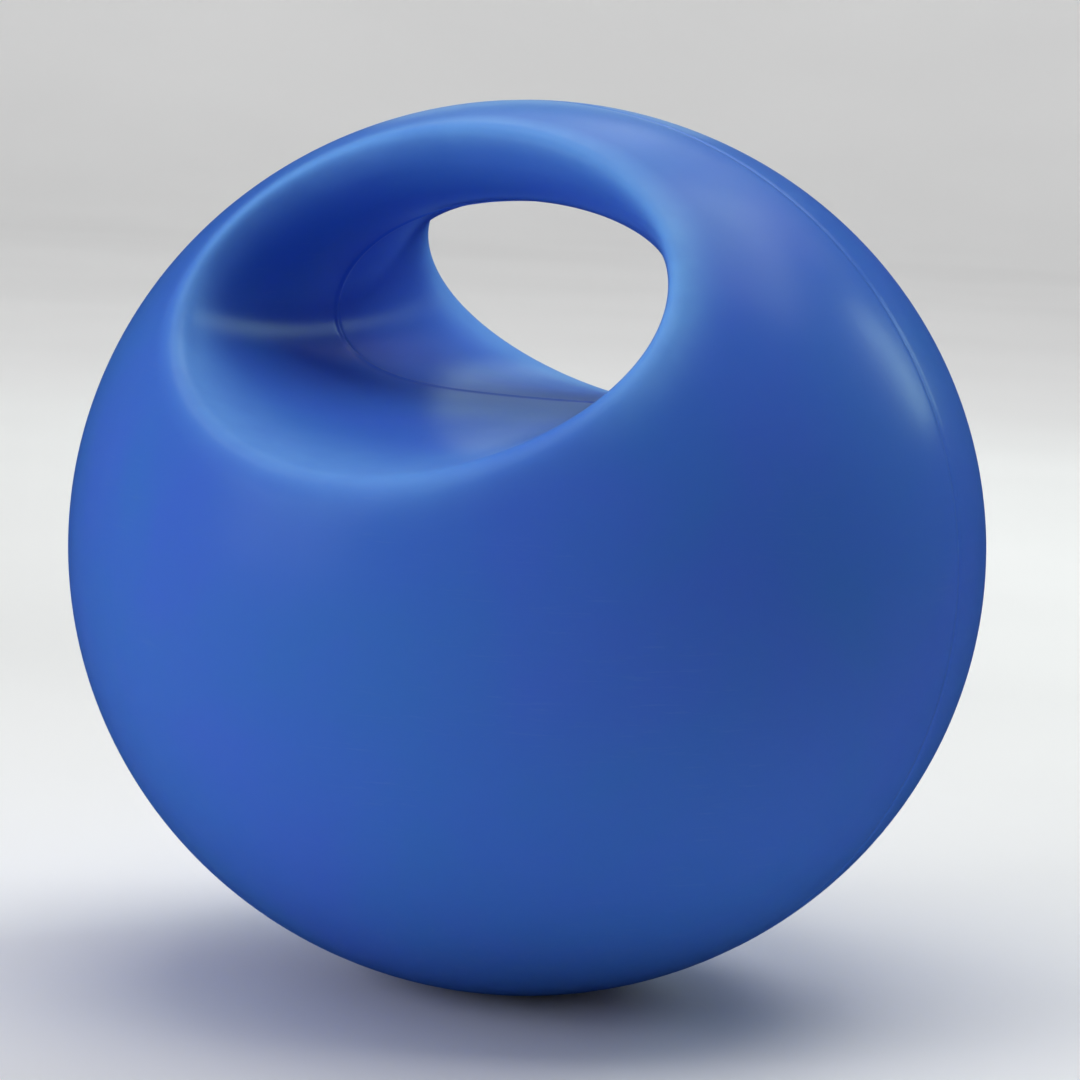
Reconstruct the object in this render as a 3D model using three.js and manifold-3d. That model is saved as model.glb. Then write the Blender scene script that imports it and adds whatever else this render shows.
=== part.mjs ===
// A weighted play ball with a hand grip: one hollow soft-vinyl moulding whose grip tunnel passes right
// through near the top, a filler hole with its collar, plug and seal ring, and the loose fill inside.
//
// Frame, in millimetres: the origin is the middle of the small flat that the ball rests on, +Z is up,
// the grip bar runs along X, and the tunnel and the filler hole run along Y. The filler hole faces +Y.

import * as THREE from "three";
import { mergeVertices } from "three/addons/utils/BufferGeometryUtils.js";
import Module from "manifold-3d";

// ---------------------------------------------------------------- driving dimensions

const BALL_WIDTH = 230;
const HEIGHT_OVER_WIDTH = 0.9755;
const REST_FLAT_RADIUS = 14;
const SKIN_WALL = 4;
const CLEARANCE = 0.3;

// The two closed outlines that shape the grip tunnel, in the plane of X and Z about the ball's centre:
// its narrowest section, in the parting plane, and its mouth, where it meets the ball. Each is
// x = across.cos(t) + acrossThird.cos(3t) and
// z = centre + rise.sin(t) + crown.cos(2t) + riseThird.sin(3t), for t from 0 to a full turn.
const WAIST = { across: 55.8, acrossThird: 0.5, centre: 59.4, rise: 25.8, crown: -3.1, riseThird: 1.1 };
const MOUTH = { across: 61.7, acrossThird: -0.5, centre: 65.8, rise: 38.5, crown: 0, riseThird: -0.7 };

// The lip runs this far from the sharp corner between ball and tunnel, both ways.
const LIP_REACH = 7.5;

// The wall spreads from waist to mouth as the share of its length to this power: at the sides, and
// how much more than that under the grip bar and less over the floor.
const FLARE_SIDE = 2.4;
const FLARE_RISE = 0.66;

// The filler hole and its pieces. Depths are measured inwards from the ball's rear pole.
const SEAT_RADIUS = 16;
const SEAT_SETBACK = 1.5;
const SEAT_LENGTH = 17;
const SEAT_FLANGE_RADIUS = 22;
const SEAT_FLANGE_THICKNESS = 3;
const SEAT_FLANGE_BEVEL = 1;
const SEAT_END_TAPER = 2;
const SEAT_BACK_GAP = 1.3;
const SEAT_BORE_RADIUS = 8.4;
const FLANGE_POCKET_RADIUS = 13;
const FLANGE_POCKET_DEPTH = 4.6;
const PLUG_FLANGE_THICKNESS = 2.6;
const PLUG_FLANGE_BEVEL = 0.8;
const PLUG_DISH_RADIUS = 8.5;
const PLUG_DISH_DEPTH = 1.4;
const PLUG_DISH_TAPER = 1;
const PLUG_BAR_WIDTH = 3;
const PLUG_BAR_SETBACK = 0.4;
const PLUG_BAR_ROOT = 0.5;
const PLUG_SHANK_RADIUS = 7.3;
const PLUG_TIP_BEVEL = { radius: 1, length: 1.5 };
const PLUG_RIB_HEIGHT = 0.8;
const PLUG_RIB_COUNT = 3;
const PLUG_RIB_PITCH = 4.2;
const PLUG_FIRST_RIB = 1.7;
const PLUG_RIB_RAMP = 1.6;
const PLUG_RIB_CREST = 0.4;
const PLUG_RIB_BACK = 0.2;
const PLUG_CORE_RADIUS = 4;
const PLUG_CORE_DEPTH = 14;
const PLUG_LENGTH = 21;
const SEAL_THICKNESS = 1.4;

// The loose fill, from the bottom of the hollow up to a nearly level surface.
const FILL_LEVEL = 74;

// How finely each surface is divided.
const OUTSIDE_DIVISIONS = { around: 60, ball: 10, lip: 4, wall: 5 };
const INSIDE_DIVISIONS = { around: 40, ball: 7, lip: 3, wall: 4 };
const ROUND_SEGMENTS = 32;
const SEAL_SEGMENTS = 12;

// ---------------------------------------------------------------- sizes that follow from them

const RADIUS = BALL_WIDTH / 2;
const HALF_HEIGHT = RADIUS * HEIGHT_OVER_WIDTH;
const CENTRE_HEIGHT = HALF_HEIGHT * Math.sqrt(1 - (REST_FLAT_RADIUS / RADIUS) ** 2);
const SEAT_BORE_FACE = RADIUS - SEAT_SETBACK - FLANGE_POCKET_DEPTH;

// ---------------------------------------------------------------- solids

const wasm = await Module();
wasm.setup();

function solidFrom(geometry) {
  const bare = geometry.clone();
  bare.deleteAttribute("normal");
  bare.deleteAttribute("uv");
  const merged = mergeVertices(bare, 1e-4);
  return new wasm.Manifold(
    new wasm.Mesh({
      numProp: 3,
      vertProperties: new Float32Array(merged.attributes.position.array),
      triVerts: new Uint32Array(merged.index.array),
    }),
  );
}

function geometryFrom(solid) {
  const mesh = solid.getMesh();
  const geometry = new THREE.BufferGeometry();
  geometry.setAttribute("position", new THREE.BufferAttribute(mesh.vertProperties, 3));
  geometry.setIndex(new THREE.BufferAttribute(mesh.triVerts, 1));
  const shaded = geometry.toNonIndexed();
  shaded.computeVertexNormals();
  return shaded;
}

function box(width, depth, height, x, y, z) {
  const geometry = new THREE.BoxGeometry(width, depth, height);
  geometry.translate(x, y, z);
  return solidFrom(geometry);
}

// A solid of revolution about the filler hole's axis. Each profile point is [radius, distance out from
// the ball's centre], and the profile runs so that the solid's faces point outwards.
function turnedAlongY(profile) {
  const points = profile.map(([radius, along]) => new THREE.Vector2(radius, along));
  const geometry = new THREE.LatheGeometry(points, ROUND_SEGMENTS);
  geometry.translate(0, 0, CENTRE_HEIGHT);
  return geometry;
}

// ---------------------------------------------------------------- the moulded ball surface

function outlinePoint(outline, turn) {
  return {
    x: outline.across * Math.cos(turn) + outline.acrossThird * Math.cos(3 * turn),
    z:
      outline.centre +
      outline.rise * Math.sin(turn) +
      outline.crown * Math.cos(2 * turn) +
      outline.riseThird * Math.sin(3 * turn),
  };
}

// Half of one ring of the moulding, on the +Y side, about the ball's centre. It runs over the ball from
// the parting plane to the mouth, round the lip, and down the tunnel's wall to its waist in that plane.
function halfRing(turn, divisions) {
  const waist = outlinePoint(WAIST, turn);
  const mouth = outlinePoint(MOUTH, turn);

  // On a true sphere, the ball part is an arc in the plane that holds its two ends and lies along Y.
  // Squashing the sphere in height turns it into the real surface.
  const start = new THREE.Vector2(Math.cos(turn), Math.sin(turn)).multiplyScalar(RADIUS);
  const end = new THREE.Vector2(mouth.x, mouth.z / HEIGHT_OVER_WIDTH);
  const inward = end.clone().sub(start).normalize();
  const arcCentre = start.clone().addScaledVector(inward, -start.dot(inward));
  const arcRadius = start.distanceTo(arcCentre);
  const arcAt = (angle) => {
    const flat = arcCentre.clone().lerp(start, Math.cos(angle));
    return new THREE.Vector3(flat.x, arcRadius * Math.sin(angle), flat.y * HEIGHT_OVER_WIDTH);
  };
  const fromCentre = end.clone().sub(arcCentre);
  const mouthAngle = Math.acos(fromCentre.dot(start.clone().sub(arcCentre)) / arcRadius ** 2);
  const corner = arcAt(mouthAngle);

  // The wall leaves the waist along Y and flares towards the corner.
  const flare = FLARE_SIDE + FLARE_RISE * Math.sin(turn);
  const wallAt = (share) => {
    const spread = share ** flare;
    return new THREE.Vector3(
      THREE.MathUtils.lerp(waist.x, corner.x, spread),
      corner.y * share,
      THREE.MathUtils.lerp(waist.z, corner.z, spread),
    );
  };

  const lipStart = mouthAngle - LIP_REACH / arcRadius;
  const lipEnd = 1 - LIP_REACH / corner.y;
  const lip = new THREE.QuadraticBezierCurve3(arcAt(lipStart), corner, wallAt(lipEnd));
  const ring = [];
  for (let i = 0; i <= divisions.ball; i += 1) {
    ring.push(arcAt((lipStart * i) / divisions.ball));
  }
  for (let i = 1; i < divisions.lip; i += 1) {
    ring.push(lip.getPoint(i / divisions.lip));
  }
  for (let i = 0; i <= divisions.wall; i += 1) {
    ring.push(wallAt(lipEnd * (1 - i / divisions.wall)));
  }
  return ring;
}

// The whole moulding surface as a grid of closed rings, moved inwards by inset millimetres.
function surfaceGrid(divisions, inset) {
  const rings = [];
  for (let i = 0; i < divisions.around; i += 1) {
    const rear = halfRing((2 * Math.PI * i) / divisions.around, divisions);
    const front = rear
      .slice(1, -1)
      .reverse()
      .map((point) => new THREE.Vector3(point.x, -point.y, point.z));
    rings.push([...rear, ...front]);
  }
  if (inset === 0) {
    return rings;
  }
  const count = rings.length;
  return rings.map((ring, i) =>
    ring.map((point, j) => {
      const across = rings[(i + 1) % count][j].clone().sub(rings[(i + count - 1) % count][j]);
      const along = ring[(j + 1) % ring.length].clone().sub(ring[(j + ring.length - 1) % ring.length]);
      const outward = along.cross(across).normalize();
      return point.clone().addScaledVector(outward, -inset);
    }),
  );
}

function mouldedSolid(divisions, inset) {
  const rings = surfaceGrid(divisions, inset);
  const size = rings[0].length;
  const positions = [];
  for (const point of rings.flat()) {
    positions.push(point.x, point.y, point.z + CENTRE_HEIGHT);
  }
  const index = [];
  for (let i = 0; i < rings.length; i += 1) {
    const next = (i + 1) % rings.length;
    for (let j = 0; j < size; j += 1) {
      const after = (j + 1) % size;
      const [a, b, c, d] = [i * size + j, next * size + j, next * size + after, i * size + after];
      index.push(a, c, b, a, d, c);
    }
  }
  const geometry = new THREE.BufferGeometry();
  geometry.setAttribute("position", new THREE.Float32BufferAttribute(positions, 3));
  geometry.setIndex(index);
  return solidFrom(geometry);
}

// ---------------------------------------------------------------- the sub-parts

function ballSkin() {
  const outside = mouldedSolid(OUTSIDE_DIVISIONS, 0);
  const hollow = mouldedSolid(INSIDE_DIVISIONS, SKIN_WALL);
  const hole = new THREE.CylinderGeometry(
    SEAT_RADIUS + CLEARANCE,
    SEAT_RADIUS + CLEARANCE,
    4 * SKIN_WALL,
    ROUND_SEGMENTS,
  );
  hole.translate(0, RADIUS, CENTRE_HEIGHT);
  const underFloor = box(BALL_WIDTH, BALL_WIDTH, SKIN_WALL, 0, 0, -SKIN_WALL / 2);
  return geometryFrom(outside.subtract(hollow).subtract(solidFrom(hole)).subtract(underFloor));
}

// The collar in the hole: a plain tube with a pocket for the plug's flange, and a broad flange behind
// the skin whose face follows the inside of the ball.
function fillerSeat() {
  const face = RADIUS - SEAT_SETBACK;
  const inner = face - SEAT_LENGTH;
  const backed = RADIUS - SKIN_WALL - SEAT_BACK_GAP;
  const behindSkin = (radius) => Math.sqrt(backed ** 2 - radius ** 2);
  const flangeBack = behindSkin(SEAT_FLANGE_RADIUS) - SEAT_FLANGE_THICKNESS;
  return turnedAlongY([
    [SEAT_BORE_RADIUS, inner],
    [SEAT_RADIUS - SEAT_END_TAPER, inner],
    [SEAT_RADIUS, flangeBack - SEAT_END_TAPER],
    [SEAT_FLANGE_RADIUS - SEAT_FLANGE_BEVEL, flangeBack],
    [SEAT_FLANGE_RADIUS, flangeBack + SEAT_FLANGE_BEVEL],
    [SEAT_FLANGE_RADIUS, behindSkin(SEAT_FLANGE_RADIUS)],
    [SEAT_RADIUS, behindSkin(SEAT_RADIUS)],
    [SEAT_RADIUS, face],
    [FLANGE_POCKET_RADIUS, face],
    [FLANGE_POCKET_RADIUS, SEAT_BORE_FACE],
    [SEAT_BORE_RADIUS, SEAT_BORE_FACE],
    [SEAT_BORE_RADIUS, inner],
  ]);
}

// The push-in plug: a flange with a dished face and a pull bar, and a ribbed shank with a blind core.
function fillerPlug() {
  const flangeBack = SEAT_BORE_FACE + SEAL_THICKNESS + 2 * CLEARANCE;
  const face = flangeBack + PLUG_FLANGE_THICKNESS;
  const flangeRadius = FLANGE_POCKET_RADIUS - CLEARANCE;
  const tip = face - PLUG_LENGTH;
  const profile = [
    [0, tip + PLUG_CORE_DEPTH],
    [PLUG_CORE_RADIUS, tip + PLUG_CORE_DEPTH],
    [PLUG_CORE_RADIUS, tip],
    [PLUG_SHANK_RADIUS - PLUG_TIP_BEVEL.radius, tip],
    [PLUG_SHANK_RADIUS, tip + PLUG_TIP_BEVEL.length],
  ];
  for (let i = 0; i < PLUG_RIB_COUNT; i += 1) {
    const foot = tip + PLUG_TIP_BEVEL.length + PLUG_FIRST_RIB + PLUG_RIB_PITCH * i;
    const crest = foot + PLUG_RIB_RAMP;
    profile.push(
      [PLUG_SHANK_RADIUS, foot],
      [PLUG_SHANK_RADIUS + PLUG_RIB_HEIGHT, crest],
      [PLUG_SHANK_RADIUS + PLUG_RIB_HEIGHT, crest + PLUG_RIB_CREST],
      [PLUG_SHANK_RADIUS, crest + PLUG_RIB_CREST + PLUG_RIB_BACK],
    );
  }
  profile.push(
    [PLUG_SHANK_RADIUS, flangeBack],
    [flangeRadius, flangeBack],
    [flangeRadius, face - PLUG_FLANGE_BEVEL],
    [flangeRadius - PLUG_FLANGE_BEVEL, face],
    [PLUG_DISH_RADIUS, face],
    [PLUG_DISH_RADIUS - PLUG_DISH_TAPER, face - PLUG_DISH_DEPTH],
    [0, face - PLUG_DISH_DEPTH],
  );
  const barHeight = PLUG_DISH_DEPTH - PLUG_BAR_SETBACK + PLUG_BAR_ROOT;
  const barMiddle = face - PLUG_BAR_SETBACK - barHeight / 2;
  const bar = box(2 * PLUG_DISH_RADIUS, barHeight, PLUG_BAR_WIDTH, 0, barMiddle, CENTRE_HEIGHT);
  return geometryFrom(solidFrom(turnedAlongY(profile)).add(bar));
}

// The soft ring under the plug's flange.
function plugSeal() {
  const inside = PLUG_SHANK_RADIUS + PLUG_RIB_HEIGHT + CLEARANCE;
  const outside = FLANGE_POCKET_RADIUS - 2 * CLEARANCE;
  const middle = SEAT_BORE_FACE + CLEARANCE + SEAL_THICKNESS / 2;
  const halfWidth = (outside - inside) / 2;
  const profile = [];
  for (let i = 0; i <= SEAL_SEGMENTS; i += 1) {
    const turn = (2 * Math.PI * i) / SEAL_SEGMENTS;
    profile.push([
      (inside + outside) / 2 + halfWidth * Math.cos(turn),
      middle + (SEAL_THICKNESS / 2) * Math.sin(turn),
    ]);
  }
  return turnedAlongY(profile);
}

function ballast() {
  const inHollow = mouldedSolid(INSIDE_DIVISIONS, SKIN_WALL + 2 * CLEARANCE);
  const above = box(BALL_WIDTH, BALL_WIDTH, BALL_WIDTH, 0, 0, FILL_LEVEL + BALL_WIDTH / 2);
  return geometryFrom(inHollow.subtract(above));
}

// ---------------------------------------------------------------- the assembly

function part(name, geometry, color, roughness) {
  const material = new THREE.MeshStandardMaterial({ color, roughness, metalness: 0 });
  const mesh = new THREE.Mesh(geometry, material);
  mesh.name = name;
  return mesh;
}

const ball = new THREE.Group();
ball.name = "grip_ball";
ball.add(part("ball_skin", ballSkin(), 0x3351a7, 0.42));
ball.add(part("filler_seat", fillerSeat(), 0x2a448f, 0.55));

const closure = new THREE.Group();
closure.name = "closure";
closure.add(part("filler_plug", fillerPlug(), 0x24397c, 0.5));
closure.add(part("plug_seal", plugSeal(), 0x1c1d20, 0.6));
ball.add(closure);
ball.add(part("ballast", ballast(), 0xb59a72, 0.95));

export default ball;
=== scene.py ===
"""The hand-grip ball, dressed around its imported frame.

Every length is in metres. The skin, the filler collar, the plug, its seal ring and the loose fill are
each made here as a fine mesh that stands in exactly the space its CAD node holds.
"""

import math

import bmesh
import bpy
import numpy as np
from mathutils import Matrix, Vector


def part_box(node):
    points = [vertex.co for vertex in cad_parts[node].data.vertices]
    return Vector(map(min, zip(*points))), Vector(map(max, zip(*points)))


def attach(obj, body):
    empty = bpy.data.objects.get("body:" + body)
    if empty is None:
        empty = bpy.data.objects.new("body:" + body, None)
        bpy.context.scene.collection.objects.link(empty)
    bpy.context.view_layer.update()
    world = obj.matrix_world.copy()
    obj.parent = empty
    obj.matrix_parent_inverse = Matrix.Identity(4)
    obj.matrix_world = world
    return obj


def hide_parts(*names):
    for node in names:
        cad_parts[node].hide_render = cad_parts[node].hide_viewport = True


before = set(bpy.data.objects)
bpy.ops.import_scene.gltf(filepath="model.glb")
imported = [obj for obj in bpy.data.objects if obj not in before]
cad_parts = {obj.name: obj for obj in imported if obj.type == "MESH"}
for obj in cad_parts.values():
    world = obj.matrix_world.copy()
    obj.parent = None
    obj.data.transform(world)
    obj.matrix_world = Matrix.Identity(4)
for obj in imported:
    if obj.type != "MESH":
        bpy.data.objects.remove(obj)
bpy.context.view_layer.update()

MM = 0.001

# ------------------------------------------------------------------ sizes

SKIN_LOW, SKIN_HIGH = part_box("ball_skin")
SEAT_LOW, SEAT_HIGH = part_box("filler_seat")
PLUG_LOW, PLUG_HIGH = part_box("filler_plug")
SEAL_LOW, SEAL_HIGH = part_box("plug_seal")
FILL_LOW, FILL_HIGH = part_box("ballast")

RADIUS = (SKIN_HIGH.x - SKIN_LOW.x) / 2
HEIGHT_OVER_WIDTH = 0.9755
CENTRE_HEIGHT = SKIN_HIGH.z - RADIUS * HEIGHT_OVER_WIDTH
CENTRE = Vector((0, 0, CENTRE_HEIGHT))
SKIN_WALL = 4 * MM

# The grip tunnel's narrowest section and its mouth, about the ball's centre in the plane of X and Z:
# x = across.cos(t) + across_third.cos(3t), z = centre + rise.sin(t) + crown.cos(2t) + rise_third.sin(3t).
WAIST = {
    "across": 55.8 * MM,
    "across_third": 0.5 * MM,
    "centre": 59.4 * MM,
    "rise": 25.8 * MM,
    "crown": -3.1 * MM,
    "rise_third": 1.1 * MM,
}
MOUTH = {
    "across": 61.7 * MM,
    "across_third": -0.5 * MM,
    "centre": 65.8 * MM,
    "rise": 38.5 * MM,
    "crown": 0.0,
    "rise_third": -0.7 * MM,
}
LIP_REACH = 7.5 * MM
FLARE_SIDE = 2.4
FLARE_RISE = 0.66

# The mould's parting line: a shallow groove round the outside, and a low ridge round the tunnel's waist.
GROOVE_DEPTH = 0.26 * MM
GROOVE_HALF_WIDTH = 1.1 * MM
RIDGE_HEIGHT = 0.36 * MM
RIDGE_HALF_WIDTH = 1.2 * MM
RIPPLE_DEPTH = 0.12 * MM

# Painted sheen, from 0 to 1: the skin is made paler where light catches the tunnel's lip and the top of the
# bar.
# The band's middle is dropped below the lip at the bottom and leans to one side. It reaches into the tunnel
# at the bottom and is narrower on the left. It is strongest at the sides and weak at the turn given below.
LIP_SHEEN = 0.74
LIP_SHEEN_REACH = 8.5 * MM
LIP_SHEEN_LEFT_LOSS = 3 * MM
LIP_SHEEN_INTO_TUNNEL = 15 * MM
LIP_SHEEN_DROP = 5 * MM
LIP_SHEEN_LEAN = 3 * MM
LIP_SHEEN_AT_SIDES = 0.3
SHEEN_GAP_SHARE = 0.7
SHEEN_GAP_TURN = math.radians(318)
SHEEN_GAP_HALF_WIDTH = math.radians(26)
BAR_UNDERSIDE = WAIST["centre"] + WAIST["rise"]
BAR_SHEEN_RISE = 25 * MM
BAR_SHEEN = 0.4

# The filler hole in the skin, and the pieces in it.
HOLE_RADIUS = 16.3 * MM
HOLE_ROUNDING = 0.9 * MM
SEAT_RADIUS = 16 * MM
SEAT_FLANGE_THICKNESS = 3 * MM
SEAT_FLANGE_BEVEL = 1 * MM
SEAT_END_TAPER = 2 * MM
SEAT_ROUNDING = 0.7 * MM
SEAT_BACK_GAP = 1.3 * MM
BORE_RADIUS = 8.4 * MM
POCKET_DEPTH = 4.6 * MM
POCKET_RADIUS = 13 * MM
SHANK_RADIUS = 7.3 * MM
RIB_HEIGHT = 0.8 * MM
RIB_COUNT = 3
RIB_PITCH = 4.2 * MM
FIRST_RIB = 3.2 * MM
RIB_RAMP = 1.6 * MM
RIB_CREST = 0.4 * MM
RIB_BACK = 0.2 * MM
CORE_RADIUS = 4 * MM
CORE_DEPTH = 14 * MM
PLUG_FLANGE_THICKNESS = 2.6 * MM
PLUG_ROUNDING = 0.6 * MM
TIP_TAPER = 1 * MM
TIP_BEVEL = 1.5 * MM
DISH_RADIUS = 8.5 * MM
DISH_DEPTH = 1.4 * MM
DISH_TAPER = 1 * MM
BAR_WIDTH = 3 * MM
BAR_SETBACK = 0.4 * MM
BAR_ROOT = 0.5 * MM
BAR_ROUNDING = 0.45 * MM
SEAL_CLEARANCE = 0.3 * MM
SEAL_SQUARENESS = 0.6
SEAL_STEPS = 24

# After a boolean, vertices nearer than this are one vertex.
MERGE_DISTANCE = 0.002 * MM

# ------------------------------------------------------------------ mesh helpers


def new_object(name, vertices, faces):
    mesh = bpy.data.meshes.new(name)
    mesh.from_pydata([tuple(v) for v in vertices], [], faces)
    mesh.update()
    obj = bpy.data.objects.new(name, mesh)
    bpy.context.scene.collection.objects.link(obj)
    return obj


def shade(obj, sharp_degrees=35):
    obj.data.polygons.foreach_set("use_smooth", [True] * len(obj.data.polygons))
    obj.data.set_sharp_from_angle(angle=math.radians(sharp_degrees))


def combine(obj, other, operation):
    """Joins or cuts obj with other, keeps the result as obj's own mesh, and removes other."""
    modifier = obj.modifiers.new("combine", "BOOLEAN")
    modifier.operation = operation
    modifier.object = other
    modifier.solver = "EXACT"
    evaluated = obj.evaluated_get(bpy.context.evaluated_depsgraph_get())
    result = bpy.data.meshes.new_from_object(evaluated)
    obj.modifiers.clear()
    bpy.data.objects.remove(other)

    mesh = bmesh.new()
    mesh.from_mesh(result)
    bmesh.ops.remove_doubles(mesh, verts=mesh.verts, dist=MERGE_DISTANCE)
    bmesh.ops.dissolve_degenerate(mesh, edges=mesh.edges, dist=MERGE_DISTANCE)
    mesh.to_mesh(result)
    mesh.free()
    obj.data = result
    result.name = obj.name


def rounded(corners, radius, steps=5, closed=True):
    """A flat profile with each corner rounded, as far as its two sides leave room."""
    points = [Vector(c) for c in corners]
    count = len(points)
    result = []
    for i, corner in enumerate(points):
        if not closed and i in (0, count - 1):
            result.append(corner)
            continue
        before, after = points[i - 1] - corner, points[(i + 1) % count] - corner
        reach = min(radius, before.length * 0.45, after.length * 0.45)
        start = corner + before.normalized() * reach
        end = corner + after.normalized() * reach
        for k in range(steps + 1):
            share = k / steps
            low = start.lerp(corner, share)
            high = corner.lerp(end, share)
            result.append(low.lerp(high, share))
    return result


def turned(name, profile, segments=96, closed=True):
    """A solid turned about the filler hole's axis. A profile point is (radius, distance along +Y)."""
    vertices = []
    rings = []
    for radius, along in profile:
        first = len(vertices)
        if radius < 1e-6:
            vertices.append((0, along, CENTRE_HEIGHT))
            rings.append([first] * segments)
            continue
        for i in range(segments):
            angle = 2 * math.pi * i / segments
            x, z = radius * math.cos(angle), radius * math.sin(angle)
            vertices.append((x, along, CENTRE_HEIGHT + z))
        rings.append(list(range(first, first + segments)))
    pairs = list(zip(rings, rings[1:] + rings[:1])) if closed else list(zip(rings, rings[1:]))
    faces = []
    for low, high in pairs:
        for i in range(segments):
            after = (i + 1) % segments
            face = [low[i], low[after], high[after], high[i]]
            faces.append(tuple(dict.fromkeys(face)))
    obj = new_object(name, vertices, faces)
    mesh = bmesh.new()
    mesh.from_mesh(obj.data)
    bmesh.ops.recalc_face_normals(mesh, faces=mesh.faces)
    mesh.to_mesh(obj.data)
    mesh.free()
    return obj


# ------------------------------------------------------------------ the moulded skin


def outline_at(outline, turn):
    x = outline["across"] * np.cos(turn) + outline["across_third"] * np.cos(3 * turn)
    z = outline["centre"] + outline["rise"] * np.sin(turn)
    z = z + outline["crown"] * np.cos(2 * turn) + outline["rise_third"] * np.sin(3 * turn)
    return x, z


def graded(first, ends, count):
    """Rows of distances from 0 to each of ends: the close-set first ones, then count even steps."""
    first = np.asarray(first)[None, :]
    share = np.linspace(0, 1, count + 1)[None, 1:]
    last = first[:, -1:]
    return np.concatenate([np.repeat(first, len(ends), 0), last + (ends[:, None] - last) * share], 1)


def half_rings(turn, ball_rows, lip_rows, wall_rows, first):
    """Points of every ring on the +Y side, about the ball's centre, as an array [turn, row, xyz]."""
    waist_x, waist_z = outline_at(WAIST, turn)
    mouth_x, mouth_z = outline_at(MOUTH, turn)

    # On a true sphere the ball part is an arc in the plane that holds its ends and lies along Y.
    start = RADIUS * np.stack([np.cos(turn), np.sin(turn)], 1)
    end = np.stack([mouth_x, mouth_z / HEIGHT_OVER_WIDTH], 1)
    inward = end - start
    inward /= np.linalg.norm(inward, axis=1, keepdims=True)
    arc_centre = start - inward * np.sum(start * inward, 1, keepdims=True)
    arc_radius = np.linalg.norm(start - arc_centre, axis=1)
    cosine = np.sum((end - arc_centre) * (start - arc_centre), 1) / arc_radius**2
    mouth_angle = np.arccos(cosine)

    def arc_at(angle):
        flat = arc_centre[:, None] + (start - arc_centre)[:, None] * np.cos(angle)[..., None]
        y = arc_radius[:, None] * np.sin(angle)
        return np.stack([flat[..., 0], y, flat[..., 1] * HEIGHT_OVER_WIDTH], -1)

    corner = arc_at(mouth_angle[:, None])
    flare = (FLARE_SIDE + FLARE_RISE * np.sin(turn))[:, None]

    def wall_at(share):
        spread = share**flare
        x = waist_x[:, None] + (corner[..., 0] - waist_x[:, None]) * spread
        z = waist_z[:, None] + (corner[..., 2] - waist_z[:, None]) * spread
        return np.stack([x, corner[..., 1] * share, z], -1)

    lip_start = mouth_angle - LIP_REACH / arc_radius
    lip_end = 1 - LIP_REACH / corner[:, 0, 1]
    arc_length = lip_start * arc_radius
    wall_length = lip_end * corner[:, 0, 1]
    ball = arc_at(graded(first, arc_length, ball_rows) / arc_radius[:, None])
    wall = wall_at(graded(first, wall_length, wall_rows)[:, ::-1] / corner[..., 1])

    step = np.linspace(0, 1, lip_rows + 1)[None, 1:-1, None]
    lip = (1 - step) ** 2 * ball[:, -1:] + 2 * step * (1 - step) * corner + step**2 * wall[:, :1]
    return np.concatenate([ball, lip, wall], 1)


def whole_rings(half):
    """Closed rings: the +Y half, then its mirror image on the -Y side."""
    mirrored = half[:, -2:0:-1] * np.array([1, -1, 1])
    return np.concatenate([half, mirrored], 1)


def grid_normals(points):
    across = np.roll(points, -1, 0) - np.roll(points, 1, 0)
    along = np.roll(points, -1, 1) - np.roll(points, 1, 1)
    normal = np.cross(along, across)
    return normal / np.linalg.norm(normal, axis=-1, keepdims=True)


def torus_faces(rings, size, offset=0, flip=False):
    faces = []
    for i in range(rings):
        after = (i + 1) % rings
        for j in range(size):
            beside = (j + 1) % size
            face = (i * size + j, i * size + beside, after * size + beside, after * size + j)
            face = tuple(offset + k for k in face)
            faces.append(face[::-1] if flip else face)
    return faces


def ripple(points):
    """How far, from 0 to 1, the slow waviness of a soft moulding sinks the surface at each point.

    The waves are 90 to 130 mm long, and each is bent by a second one so that none repeats evenly.
    """
    x, y, z = (points[..., k] / MM for k in range(3))
    waves = np.sin(x / 17 + 0.6 * np.sin(y / 23)) + np.sin(y / 14 + 1.3 + 0.7 * np.sin(z / 19))
    waves = waves + np.sin(z / 21 + 2.1 + 0.5 * np.sin(x / 12))
    return 0.5 + waves / 6


def painted_sheen(half, turn, corner_row):
    """How much painted sheen each point gets: most on the lip, far into the tunnel below, and on the bar.
    """
    steps = np.linalg.norm(np.diff(half, axis=1, append=half[:, -1:]), axis=2)
    along = np.cumsum(steps, 1) - steps
    shift = LIP_SHEEN_DROP * np.sin(turn) + LIP_SHEEN_LEAN * np.cos(turn)
    past_middle = along - (along[:, corner_row] - shift)[:, None]
    reach_inside = LIP_SHEEN_REACH + LIP_SHEEN_INTO_TUNNEL * np.maximum(0, -np.sin(turn))
    reach_outside = LIP_SHEEN_REACH - LIP_SHEEN_LEFT_LOSS * np.maximum(0, -np.cos(turn))
    reach = np.where(past_middle > 0, reach_inside[:, None], reach_outside[:, None])
    sheen_gap = np.exp(-(((turn - SHEEN_GAP_TURN) / SHEEN_GAP_HALF_WIDTH) ** 2))
    strength = LIP_SHEEN * (1 + LIP_SHEEN_AT_SIDES * np.cos(turn) ** 2) * (1 - SHEEN_GAP_SHARE * sheen_gap)
    lip = strength[:, None] * np.exp(-((past_middle / reach) ** 2))
    over_bar = np.clip((half[..., 2] - BAR_UNDERSIDE) / BAR_SHEEN_RISE, 0, 1)
    sheen_amount = np.maximum(lip, BAR_SHEEN * over_bar)
    return np.concatenate([sheen_amount, sheen_amount[:, -2:0:-1]], 1)


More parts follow.
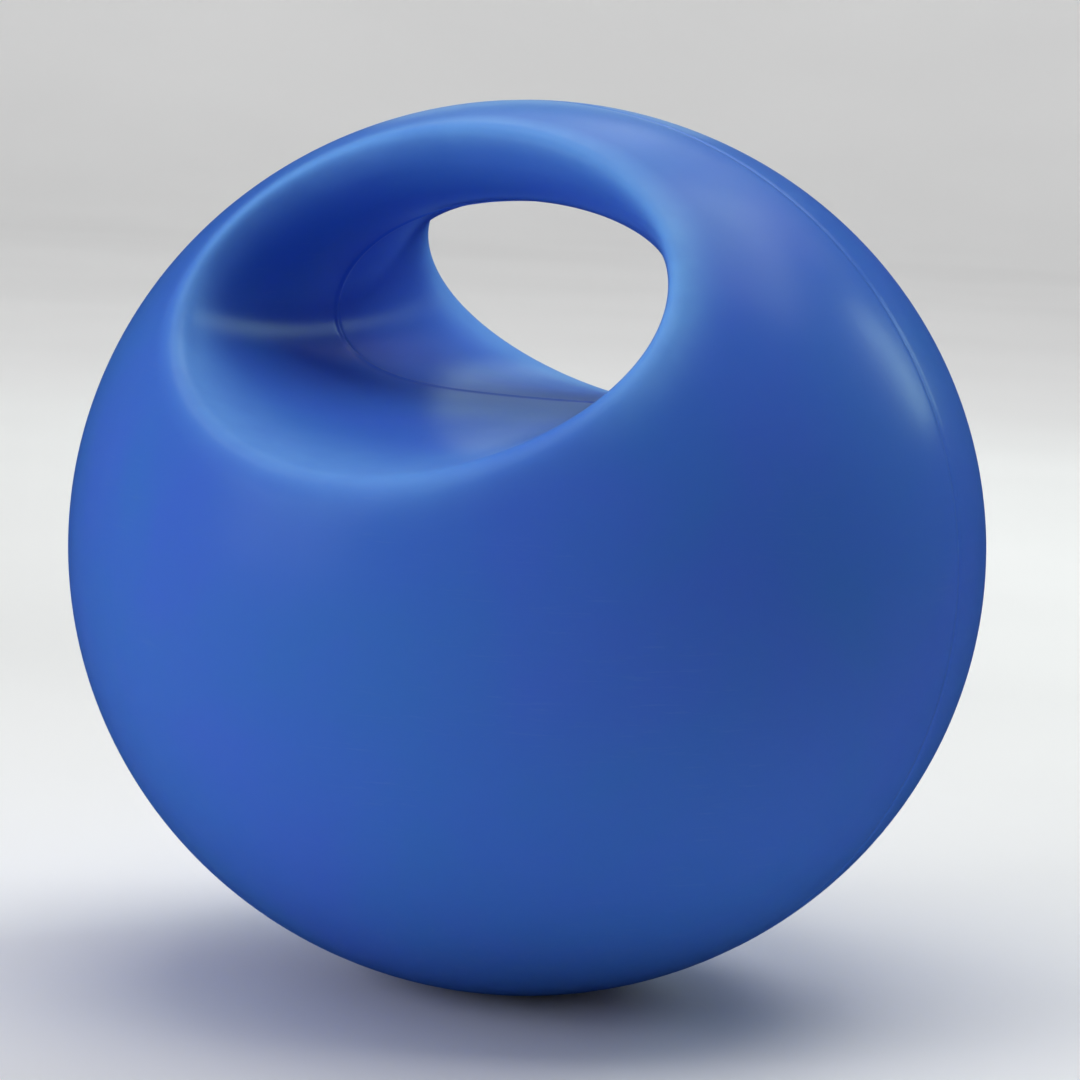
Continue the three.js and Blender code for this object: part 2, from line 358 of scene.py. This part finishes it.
def make_skin():
    turns, inner_turns = 256, 96
    ball_rows, lip_rows, wall_rows = 60, 14, 26
    near_parting = np.array([0, 0.25, 0.5, 0.75, 1.0, 1.35, 1.8, 2.4, 3.2]) * MM
    turn = np.linspace(0, 2 * np.pi, turns, endpoint=False)
    half = half_rings(turn, ball_rows, lip_rows, wall_rows, near_parting)
    outer = whole_rings(half)
    normal = grid_normals(outer)

    row = np.arange(outer.shape[1])
    waist_row = half.shape[1] - 1
    in_tunnel = (np.abs(row - waist_row) < len(near_parting))[None, :]
    beside = np.abs(outer[..., 1])
    groove = -GROOVE_DEPTH * np.exp(-((beside / GROOVE_HALF_WIDTH) ** 2))
    ridge = RIDGE_HEIGHT * np.exp(-((beside / RIDGE_HALF_WIDTH) ** 2))
    rise = np.where(in_tunnel, ridge, groove) - RIPPLE_DEPTH * ripple(outer)
    corner_row = len(near_parting) - 1 + ball_rows + lip_rows // 2
    # Painted sheen: how much paler the skin's colour is made, standing for light on the lip and the bar's
    # top.
    sheen_amount = painted_sheen(half, turn, corner_row)
    outer = outer + normal * rise[..., None]
    outer[..., 2] = np.maximum(outer[..., 2], -CENTRE_HEIGHT)

    inner_turn = np.linspace(0, 2 * np.pi, inner_turns, endpoint=False)
    inner = whole_rings(half_rings(inner_turn, 24, 5, 10, [0]))
    inner = inner - grid_normals(inner) * SKIN_WALL

    vertices = np.concatenate([outer.reshape(-1, 3), inner.reshape(-1, 3)]) + np.array(CENTRE)
    faces = torus_faces(turns, outer.shape[1])
    faces += torus_faces(inner_turns, inner.shape[1], outer.shape[0] * outer.shape[1], flip=True)
    skin = new_object("grip_ball_skin", vertices, faces)
    # The painted sheen goes to the skin's material as a mesh attribute.
    attribute = skin.data.attributes.new("painted_sheen", "FLOAT", "POINT")
    attribute.data.foreach_set("value", np.concatenate([sheen_amount.ravel(), np.zeros(inner.size // 3)]))

    # The hole's edge is rounded: the cutter is a plain cylinder below the surface and flares near it.
    edge_radius = HOLE_RADIUS + HOLE_ROUNDING
    edge = math.sqrt(RADIUS**2 - edge_radius**2)
    cutter_end = edge - 5 * SKIN_WALL
    profile = [(0, cutter_end), (HOLE_RADIUS, cutter_end)]
    for k in range(7):
        angle = math.radians(12 * k)
        out = HOLE_ROUNDING * (1 - math.cos(angle))
        profile.append((HOLE_RADIUS + out, edge - HOLE_ROUNDING * (1 - math.sin(angle))))
    profile += [(edge_radius + 0.5 * MM, edge + 0.6 * MM), (edge_radius, edge + SKIN_WALL)]
    profile.append((0, edge + SKIN_WALL))
    combine(skin, turned("hole_cutter", profile, 128, closed=False), "DIFFERENCE")
    shade(skin)
    return skin


skin = make_skin()
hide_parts("ball_skin")
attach(skin, "ball")

# ------------------------------------------------------------------ the filler collar, plug and seal


def make_seat():
    face = SEAT_HIGH.y
    inner = SEAT_LOW.y
    flange_radius = SEAT_HIGH.x
    backed = RADIUS - SKIN_WALL - SEAT_BACK_GAP

    def behind_skin(radius):
        return math.sqrt(backed**2 - radius**2)

    flange_back = behind_skin(flange_radius) - SEAT_FLANGE_THICKNESS
    pocket = face - POCKET_DEPTH
    corners = [
        (BORE_RADIUS, inner),
        (SEAT_RADIUS - SEAT_END_TAPER, inner),
        (SEAT_RADIUS, flange_back - SEAT_END_TAPER),
        (SEAT_RADIUS + SEAT_FLANGE_BEVEL, flange_back),
        (flange_radius, flange_back),
        (flange_radius, behind_skin(flange_radius)),
        (SEAT_RADIUS, behind_skin(SEAT_RADIUS)),
        (SEAT_RADIUS, face),
        (POCKET_RADIUS, face),
        (POCKET_RADIUS, pocket),
        (BORE_RADIUS, pocket),
    ]
    seat = turned("filler_collar", rounded(corners, SEAT_ROUNDING))
    shade(seat)
    return seat


def make_plug():
    tip = PLUG_LOW.y
    face = PLUG_HIGH.y
    flange_back = face - PLUG_FLANGE_THICKNESS
    flange_radius = PLUG_HIGH.x
    corners = [
        (0, tip + CORE_DEPTH),
        (CORE_RADIUS, tip + CORE_DEPTH),
        (CORE_RADIUS, tip),
        (SHANK_RADIUS - TIP_TAPER, tip),
        (SHANK_RADIUS, tip + TIP_BEVEL),
    ]
    for i in range(RIB_COUNT):
        foot = tip + FIRST_RIB + RIB_PITCH * i
        corners += [
            (SHANK_RADIUS, foot),
            (SHANK_RADIUS + RIB_HEIGHT, foot + RIB_RAMP),
            (SHANK_RADIUS + RIB_HEIGHT, foot + RIB_RAMP + RIB_CREST),
            (SHANK_RADIUS, foot + RIB_RAMP + RIB_CREST + RIB_BACK),
        ]
    corners += [
        (SHANK_RADIUS, flange_back),
        (flange_radius, flange_back),
        (flange_radius, face),
        (DISH_RADIUS, face),
        (DISH_RADIUS - DISH_TAPER, face - DISH_DEPTH),
        (0, face - DISH_DEPTH),
    ]
    profile = rounded(corners, PLUG_ROUNDING, steps=4, closed=False)
    plug = turned("filler_plug_cap", profile, closed=False)

    bar_height = DISH_DEPTH - BAR_SETBACK + BAR_ROOT
    bar = new_object("pull_bar", [], [])
    mesh = bmesh.new()
    bmesh.ops.create_cube(mesh, size=1)
    bmesh.ops.scale(mesh, vec=(2 * DISH_RADIUS, bar_height, BAR_WIDTH), verts=mesh.verts)
    edges = mesh.edges[:]
    bmesh.ops.bevel(mesh, geom=edges, offset=BAR_ROUNDING, segments=4, profile=0.5, affect="EDGES")
    middle = face - BAR_SETBACK - bar_height / 2
    bmesh.ops.translate(mesh, vec=(0, middle, CENTRE_HEIGHT), verts=mesh.verts)
    mesh.to_mesh(bar.data)
    mesh.free()
    combine(plug, bar, "UNION")
    shade(plug)
    return plug


def make_seal():
    """A ring of squarish section, so that it lies flat under the plug's flange."""
    inner_radius = SHANK_RADIUS + RIB_HEIGHT + SEAL_CLEARANCE
    outer_radius = SEAL_HIGH.x
    middle = (SEAL_LOW.y + SEAL_HIGH.y) / 2
    half_thickness = (SEAL_HIGH.y - SEAL_LOW.y) / 2
    profile = []
    for i in range(SEAL_STEPS):
        angle = 2 * math.pi * i / SEAL_STEPS
        along = math.copysign(abs(math.sin(angle)) ** SEAL_SQUARENESS, math.sin(angle))
        out = math.copysign(abs(math.cos(angle)) ** SEAL_SQUARENESS, math.cos(angle))
        radius = (inner_radius + outer_radius) / 2 + (outer_radius - inner_radius) / 2 * out
        profile.append((radius, middle + half_thickness * along))
    seal = turned("plug_seal_ring", profile)
    shade(seal, 50)
    return seal


seat = make_seat()
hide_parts("filler_seat")
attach(seat, "ball")

plug = make_plug()
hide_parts("filler_plug")
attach(plug, "plug")

seal = make_seal()
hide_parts("plug_seal")
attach(seal, "plug")

# ------------------------------------------------------------------ the loose fill


FILL_SEED = 7
FILL_CLEARANCE = 0.75 * MM
FILL_RIM_DROP = 2.2 * MM
FILL_HEAP_SHARE = 0.55
FILL_GRAIN_LOW = -0.55 * MM
FILL_GRAIN_HIGH = 0.35 * MM
FILL_SLUMP = 0.6 * MM


def make_fill():
    """The settled fill: the ball's inner curve below, and a heaped, grainy surface on top."""
    random = np.random.default_rng(FILL_SEED)
    around = 144
    angle = np.linspace(0, 2 * np.pi, around, endpoint=False)
    half_height = CENTRE_HEIGHT - FILL_LOW.z
    level = FILL_HIGH.z - FILL_RIM_DROP
    rows = []
    for share in np.linspace(0, 1, 41)[1:]:
        height = FILL_LOW.z + (level - FILL_LOW.z) * share**1.6
        radius = np.sqrt(1 - ((CENTRE_HEIGHT - height) / half_height) ** 2)
        rows.append((radius * (RADIUS - SKIN_WALL - FILL_CLEARANCE), height, 0.0))
    rim = min(rows[-1][0], FILL_HIGH.x)
    for share in np.linspace(1, 0, 56)[1:-1]:
        heap = FILL_RIM_DROP * (0.5 + 0.5 * math.cos(math.pi * share)) * FILL_HEAP_SHARE
        rows.append((rim * share, level + heap, min(1.0, (1 - share) * 12)))
    vertices = [(0, 0, FILL_LOW.z)]
    for radius, height, loose in rows:
        grain = random.uniform(FILL_GRAIN_LOW, FILL_GRAIN_HIGH, around) * loose
        slump = FILL_SLUMP * np.sin(3 * angle + radius / MM / 20) * loose
        for a, up in zip(angle, grain + slump):
            vertices.append((radius * math.cos(a), radius * math.sin(a), height + up))
    vertices.append((0, 0, level + FILL_RIM_DROP * FILL_HEAP_SHARE))
    faces = []
    last = len(vertices) - 1
    final = last - around
    for i in range(around):
        after = (i + 1) % around
        faces.append((0, 1 + after, 1 + i))
        faces.append((last, final + i, final + after))
        for k in range(len(rows) - 1):
            low = 1 + k * around
            high = low + around
            faces.append((low + i, low + after, high + after, high + i))
    fill = new_object("loose_fill", vertices, faces)
    shade(fill, 60)
    return fill


fill = make_fill()
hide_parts("ballast")
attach(fill, "ball")

# ------------------------------------------------------------------ materials


class Shading:
    """One material's node tree, with short ways to add the few kinds of node used here."""

    def __init__(self, name):
        self.material = bpy.data.materials.new(name)
        self.material.use_nodes = True
        self.tree = self.material.node_tree
        self.shader = self.tree.nodes["Principled BSDF"]
        self.place = self.tree.nodes.new("ShaderNodeTexCoord").outputs["Object"]

    def add(self, kind, **inputs):
        node = self.tree.nodes.new(kind)
        for name, value in inputs.items():
            self.feed(node.inputs[name.replace("_", " ")], value)
        return node

    def feed(self, socket, value):
        if isinstance(value, bpy.types.NodeSocket):
            self.tree.links.new(value, socket)
        else:
            socket.default_value = value

    def stretched(self, scale, turn=(0, 0, 0)):
        """Object space stretched by a factor along each axis, for streaks and fibres."""
        return self.add("ShaderNodeMapping", Vector=self.place, Scale=scale, Rotation=turn).outputs[0]

    def noise(self, scale, detail=2.0, roughness=0.5, distortion=0.0, place=None):
        """Smooth noise whose features are about 1 / scale metres wide."""
        node = self.add("ShaderNodeTexNoise", Vector=place or self.place, Scale=scale, Detail=detail)
        node.inputs["Roughness"].default_value = roughness
        node.inputs["Distortion"].default_value = distortion
        return node.outputs["Fac"]

    def cells(self, scale):
        """The distance to the nearest of scattered points, about 1 / scale metres apart."""
        return self.add("ShaderNodeTexVoronoi", Vector=self.place, Scale=scale).outputs["Distance"]

    def remap(self, value, low, high, to_low=0.0, to_high=1.0):
        node = self.add("ShaderNodeMapRange")
        node.interpolation_type = "SMOOTHSTEP"
        for socket, number in zip(list(node.inputs)[:5], (value, low, high, to_low, to_high)):
            self.feed(socket, number)
        return node.outputs["Result"]

    def math(self, operation, first, second):
        node = self.tree.nodes.new("ShaderNodeMath")
        node.operation = operation
        self.feed(node.inputs[0], first)
        self.feed(node.inputs[1], second)
        return node.outputs["Value"]

    def mix(self, factor, first, second):
        """Blends two colours, each a socket or three numbers."""
        node = self.tree.nodes.new("ShaderNodeMix")
        node.data_type = "RGBA"
        self.feed(node.inputs["Factor"], factor)
        for socket, colour in ((node.inputs[6], first), (node.inputs[7], second)):
            self.feed(socket, colour if isinstance(colour, bpy.types.NodeSocket) else (*colour, 1))
        return node.outputs[2]

    def height(self):
        return self.add("ShaderNodeSeparateXYZ", Vector=self.place).outputs["Z"]

    def attribute(self, name):
        node = self.tree.nodes.new("ShaderNodeAttribute")
        node.attribute_name = name
        return node.outputs["Fac"]

    def bump(self, layers):
        """Stacked bump layers, each a (height from 0 to 1, depth in metres)."""
        normal = None
        for value, depth in layers:
            node = self.add("ShaderNodeBump", Height=value, Distance=depth)
            if normal is not None:
                self.feed(node.inputs["Normal"], normal)
            normal = node.outputs["Normal"]
        self.feed(self.shader.inputs["Normal"], normal)

    def finish(self, colour, roughness, specular=0.5, **inputs):
        self.feed(self.shader.inputs["Base Color"], colour)
        self.feed(self.shader.inputs["Roughness"], roughness)
        self.shader.inputs["Specular IOR Level"].default_value = specular
        for name, value in inputs.items():
            self.feed(self.shader.inputs[name.replace("_", " ")], value)
        return self.material


VINYL_BLUE = (0.051, 0.156, 0.630)
VINYL_VIOLET = (0.055, 0.149, 0.645)
VINYL_TEAL = (0.047, 0.165, 0.605)
# The paler blue painted as sheen where light catches the tunnel's lip and the bar.
SHEEN_PALE_BLUE = (0.155, 0.390, 0.860)
SCUFF_PALE = (0.170, 0.300, 0.660)


def skin_vinyl():
    """Satin blue vinyl: clouded pigment, a painted sheen on the lip and the bar, hairline scuffs, faint
    orange peel.
    """
    s = Shading("skin_vinyl")
    clouds = s.remap(s.noise(16, 2, 0.5, 0.4), 0.34, 0.68)
    colour = s.mix(clouds, VINYL_VIOLET, VINYL_TEAL)
    colour = s.mix(s.remap(s.noise(60, 3, 0.5), 0.40, 0.72, 0, 0.6), colour, VINYL_BLUE)

    # Painted sheen: the vinyl is made paler along the tunnel's lip and on top of the bar, where light
    # catches it.
    patchy = s.remap(s.noise(70, 3, 0.5), 0.25, 0.7, 0.78, 1.0)
    wear_and_sheen = s.math("MULTIPLY", s.attribute("painted_sheen"), patchy)
    colour = s.mix(wear_and_sheen, colour, SHEEN_PALE_BLUE)

    patches = s.remap(s.noise(22, 1, 0.5), 0.45, 0.75)
    hairs = s.noise(90, 3, 0.6, 0.2, s.stretched((1, 1, 16), (0.5, 0.3, 0.4)))
    hairs = s.math("MULTIPLY", s.remap(hairs, 0.56, 0.74), patches)
    near_floor = s.remap(s.height(), 0.003, 0.040, 1.0, 0.0)
    rubbed = s.math("MULTIPLY", s.remap(s.noise(260, 4, 0.7), 0.5, 0.75), near_floor)
    scuffs = s.math("MAXIMUM", s.math("MULTIPLY", hairs, 0.12), s.math("MULTIPLY", rubbed, 0.25))
    colour = s.mix(scuffs, colour, SCUFF_PALE)

    # Kept above 0.27: a range that crosses it gives hard-edged patches in denoised renders.
    roughness = s.remap(s.noise(34, 3, 0.5), 0.3, 0.7, 0.28, 0.315)
    roughness = s.math("ADD", roughness, s.math("MULTIPLY", scuffs, 0.25))
    s.bump([(s.noise(28, 1, 0.4), 0.12 * MM), (s.noise(620, 1, 0.4), 0.014 * MM)])
    s.shader.inputs["Subsurface Radius"].default_value = (0.6, 1.0, 1.0)
    s.shader.inputs["Specular Tint"].default_value = (0.6, 1.0, 0.7, 1)
    return s.finish(colour, roughness, 0.12, Subsurface_Weight=0.35, Subsurface_Scale=4 * MM)


def seat_rubber():
    """Matt moulded rubber, with fine grain and dust in its pores."""
    s = Shading("seat_rubber")
    colour = s.mix(s.remap(s.noise(90, 3, 0.6), 0.35, 0.7), (0.020, 0.050, 0.200), (0.030, 0.070, 0.250))
    dust = s.remap(s.noise(420, 4, 0.7), 0.55, 0.75, 0, 0.35)
    colour = s.mix(dust, colour, (0.16, 0.19, 0.28))
    roughness = s.remap(s.noise(260, 3, 0.6), 0.3, 0.7, 0.48, 0.66)
    s.bump([(s.noise(1500, 2, 0.5), 0.03 * MM), (s.noise(160, 3, 0.5), 0.05 * MM)])
    return s.finish(colour, roughness, 0.3)


def plug_vinyl():
    """Darker blue vinyl, rubbed paler along the edges by fingernails and coins."""
    s = Shading("plug_vinyl")
    colour = s.mix(s.remap(s.noise(120, 3, 0.55), 0.35, 0.7), (0.022, 0.056, 0.270), (0.032, 0.078, 0.330))
    edge = s.tree.nodes.new("ShaderNodeNewGeometry").outputs["Pointiness"]
    wear_and_sheen = s.math("MULTIPLY", s.remap(edge, 0.52, 0.60), s.remap(s.noise(380, 4, 0.7), 0.4, 0.6, 0.25, 1))
    colour = s.mix(s.math("MULTIPLY", wear_and_sheen, 0.6), colour, (0.12, 0.22, 0.55))
    roughness = s.remap(s.noise(300, 3, 0.6), 0.3, 0.7, 0.32, 0.46)
    s.bump([(s.noise(900, 2, 0.4), 0.02 * MM), (s.noise(140, 2, 0.5), 0.05 * MM)])
    return s.finish(colour, roughness, 0.3)


def seal_rubber():
    """Near-black soft rubber with a fine bloom."""
    s = Shading("seal_rubber")
    bloom = s.remap(s.noise(300, 4, 0.7), 0.45, 0.75, 0, 0.4)
    colour = s.mix(bloom, (0.012, 0.012, 0.014), (0.09, 0.09, 0.10))
    roughness = s.remap(s.noise(500, 3, 0.6), 0.3, 0.7, 0.5, 0.72)
    s.bump([(s.noise(1800, 2, 0.5), 0.03 * MM)])
    return s.finish(colour, roughness, 0.35)


def fill_sand():
    """Dry sand: grains of several tints, with painted shade in the gaps between them."""
    s = Shading("fill_sand")
    tint = s.remap(s.noise(700, 2, 0.8), 0.35, 0.65)
    colour = s.mix(tint, (0.30, 0.22, 0.13), (0.62, 0.51, 0.35))
    # Painted shade: the colour darkens in the gaps between grains, where shadow falls.
    grains = s.cells(900)
    colour = s.mix(s.remap(grains, 0.45, 0.75, 0, 0.7), colour, (0.09, 0.07, 0.045))
    roughness = s.remap(s.noise(400, 2, 0.5), 0.3, 0.7, 0.8, 0.95)
    s.bump([(s.math("SUBTRACT", 1.0, grains), 0.5 * MM), (s.noise(120, 3, 0.6), 0.6 * MM)])
    return s.finish(colour, roughness, 0.25)


skin.data.materials.append(skin_vinyl())
seat.data.materials.append(seat_rubber())
plug.data.materials.append(plug_vinyl())
seal.data.materials.append(seal_rubber())
fill.data.materials.append(fill_sand())

# ------------------------------------------------------------------ floor, light and camera

VIEW_AZIMUTH = 24.36
VIEW_ELEVATION = 7.4
VIEW_ROLL = 2.58
VIEW_DISTANCE = 10 * RADIUS
LENS_MM = 152.4
SENSOR_MM = 36
SHIFT_RIGHT = 0.0119
SHIFT_UP = 0.0069

FLOOR_RADIUS = 3.0
COVE_RADIUS = 1.2
COVE_HEIGHT = 3.2
COVE_STEPS = 12

LIGHT_DISTANCE = 1.5
OVERHEAD_DISTANCE = 1.4
BACKDROP_DISTANCE = 0.5
BACKDROP_HEIGHT = 2.6
WHITE = (1, 1, 1)
COOL_WHITE = (0.7, 1.0, 0.9)


def make_cove():
    """A pale floor that curves up into a round wall, so that no view shows the floor's end."""
    profile = [(0.0, 0.0), (FLOOR_RADIUS * 0.3, 0.0), (FLOOR_RADIUS, 0.0)]
    for i in range(1, COVE_STEPS + 1):
        angle = math.pi / 2 * i / COVE_STEPS
        out = FLOOR_RADIUS + COVE_RADIUS * math.sin(angle)
        profile.append((out, COVE_RADIUS * (1 - math.cos(angle))))
    profile.append((FLOOR_RADIUS + COVE_RADIUS, COVE_HEIGHT))
    segments = 96
    vertices = [(0, 0, 0)]
    faces = []
    for radius, height in profile[1:]:
        for i in range(segments):
            angle = 2 * math.pi * i / segments
            vertices.append((radius * math.cos(angle), radius * math.sin(angle), height))
    for i in range(segments):
        after = (i + 1) % segments
        faces.append((0, 1 + i, 1 + after))
        for k in range(len(profile) - 2):
            low = 1 + k * segments
            high = low + segments
            faces.append((low + i, high + i, high + after, low + after))
    cove = new_object("studio_cove", vertices, faces)
    shade(cove, 60)
    return cove


def cove_paper():
    """Matt studio paper, very slightly uneven."""
    s = Shading("cove_paper")
    colour = s.mix(s.remap(s.noise(3, 2, 0.5), 0.3, 0.7), (0.90, 0.90, 0.90), (0.93, 0.93, 0.93))
    return s.finish(colour, 0.9, 0.1)


cove = make_cove()
cove.data.materials.append(cove_paper())

# The photograph's backdrop leaves no white sheen on the vinyl: the cove lights it but isn't mirrored in it.
cove.visible_glossy = False


def light_panel(name, location, facing, width, height, power, colour=WHITE):
    """A one-sided rectangle of light, which the camera doesn't see."""
    data = bpy.data.lights.new(name, "AREA")
    data.shape = "RECTANGLE"
    data.size = width
    data.size_y = height
    data.energy = power
    data.color = colour
    light = bpy.data.objects.new(name, data)
    light.location = location
    light.rotation_euler = (-facing).to_track_quat("Z", "Y").to_euler()
    light.visible_camera = False
    bpy.context.scene.collection.objects.link(light)


def direction(azimuth, elevation):
    """A unit vector. Azimuth 0 points to the camera's side, and 90 to its right."""
    a, e = math.radians(VIEW_AZIMUTH + azimuth), math.radians(elevation)
    return Vector((math.sin(a) * math.cos(e), -math.cos(a) * math.cos(e), math.sin(e)))


def soft_light(name, azimuth, elevation, distance, width, height, power, colour=WHITE):
    """A panel that faces the ball."""
    away = direction(azimuth, elevation)
    light_panel(name, CENTRE + away * distance, -away, width, height, power, colour)


soft_light("left_key", -60, 15, LIGHT_DISTANCE, 0.9, 0.9, 7.6)
soft_light("left_high", -60, 50, LIGHT_DISTANCE, 0.8, 0.8, 2.4)
soft_light("overhead", 0, 88, OVERHEAD_DISTANCE, 1.2, 1.2, 11.0)
soft_light("right_high", 123, 54, LIGHT_DISTANCE, 0.9, 0.55, 5.2)
soft_light("back_right", 155, 43, LIGHT_DISTANCE, 0.9, 0.7, 1.5)
soft_light("back", -178, 42, LIGHT_DISTANCE, 0.6, 0.6, 0.9)
soft_light("right_strip", 127, 22, LIGHT_DISTANCE, 0.14, 0.45, 1.8, COOL_WHITE)
soft_light("back_strip", 180, 14, LIGHT_DISTANCE, 0.4, 0.16, 0.24, COOL_WHITE)

# Behind the ball and facing away from it, this one lights the floor's far side and the wall.
BEHIND = direction(180, 0)
BACKDROP_PLACE = BEHIND * BACKDROP_DISTANCE + Vector((0, 0, BACKDROP_HEIGHT))
light_panel("backdrop", BACKDROP_PLACE, BEHIND, 2.4, 0.8, 85)

world = bpy.data.worlds.new("studio")
world.use_nodes = True
world.node_tree.nodes["Background"].inputs["Strength"].default_value = 0.0
bpy.context.scene.world = world
bpy.context.scene.view_settings.view_transform = "Standard"


def make_camera():
    azimuth, roll = math.radians(VIEW_AZIMUTH), math.radians(VIEW_ROLL)
    back = direction(0, VIEW_ELEVATION)
    right = Vector((math.cos(azimuth), math.sin(azimuth), 0))
    up = back.cross(right)
    x_axis = right * math.cos(roll) + up * math.sin(roll)
    y_axis = up * math.cos(roll) - right * math.sin(roll)
    data = bpy.data.cameras.new("camera")
    data.lens = LENS_MM
    data.sensor_width = SENSOR_MM
    data.shift_x = SHIFT_RIGHT
    data.shift_y = SHIFT_UP
    camera = bpy.data.objects.new("camera", data)
    turn = Matrix((x_axis, y_axis, back)).transposed()
    camera.matrix_world = Matrix.Translation(CENTRE + back * VIEW_DISTANCE) @ turn.to_4x4()
    bpy.context.scene.collection.objects.link(camera)
    bpy.context.scene.camera = camera


make_camera()
